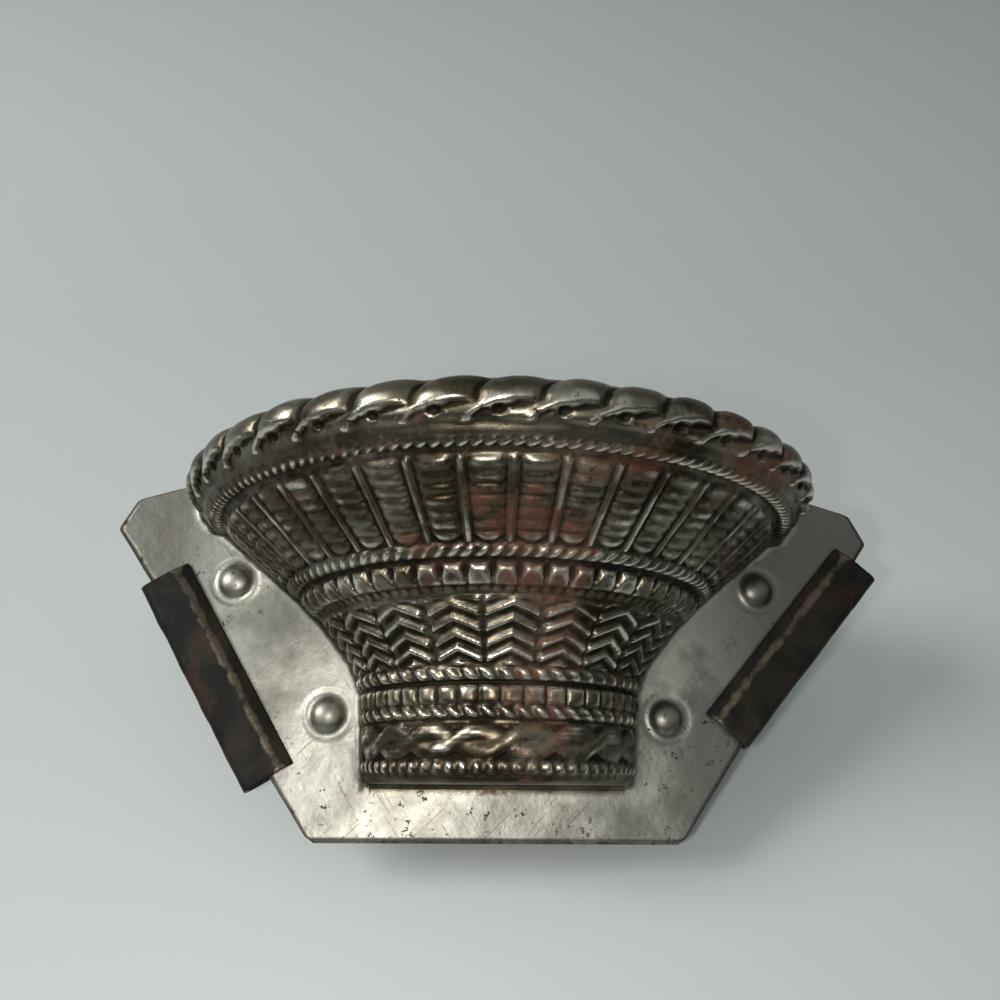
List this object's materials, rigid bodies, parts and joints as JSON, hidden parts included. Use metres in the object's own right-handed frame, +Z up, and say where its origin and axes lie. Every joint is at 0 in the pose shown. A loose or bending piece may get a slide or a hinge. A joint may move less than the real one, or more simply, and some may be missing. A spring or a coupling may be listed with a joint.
{
  "type": "chocolate mold",
  "caption": "Hinge-free two-part tinned sheet chocolate mold in the shape of a flared woven basket, with flat flanges and folded spring clips",
  "frame": {"origin": "middle of the bounding box, at the surface that the mold lies on", "axes": "+Z up; +X to the right along the flange; the basket's axis runs from the foot, near and low, to the mouth, far and high, in the YZ plane"},
  "size_m": [0.1606, 0.0996, 0.1062],
  "materials": {
    "tinned_sheet": "old tin plate, dulled and rust-flecked",
    "clip_steel": "dark brown patina, worn bright on the bends"
  },
  "bodies": {
    "rear": {"rear_half": "tinned_sheet"},
    "front": {"front_half": "tinned_sheet"},
    "left_clip": {"left_clip": "clip_steel"},
    "right_clip": {"right_clip": "clip_steel"}
  },
  "joints": [
    {"name": "front_half_lift", "type": "slide", "parent": "rear", "child": "front", "axis": [0, -0.5848, 0.8112], "range_m": [0, 0.06]},
    {"name": "left_clip_pull", "type": "slide", "parent": "rear", "child": "left_clip", "axis": [-0.8498, -0.4276, -0.3082], "range_m": [0, 0.025]},
    {"name": "right_clip_pull", "type": "slide", "parent": "rear", "child": "right_clip", "axis": [0.7558, -0.5312, -0.3829], "range_m": [0, 0.025]}
  ]
}
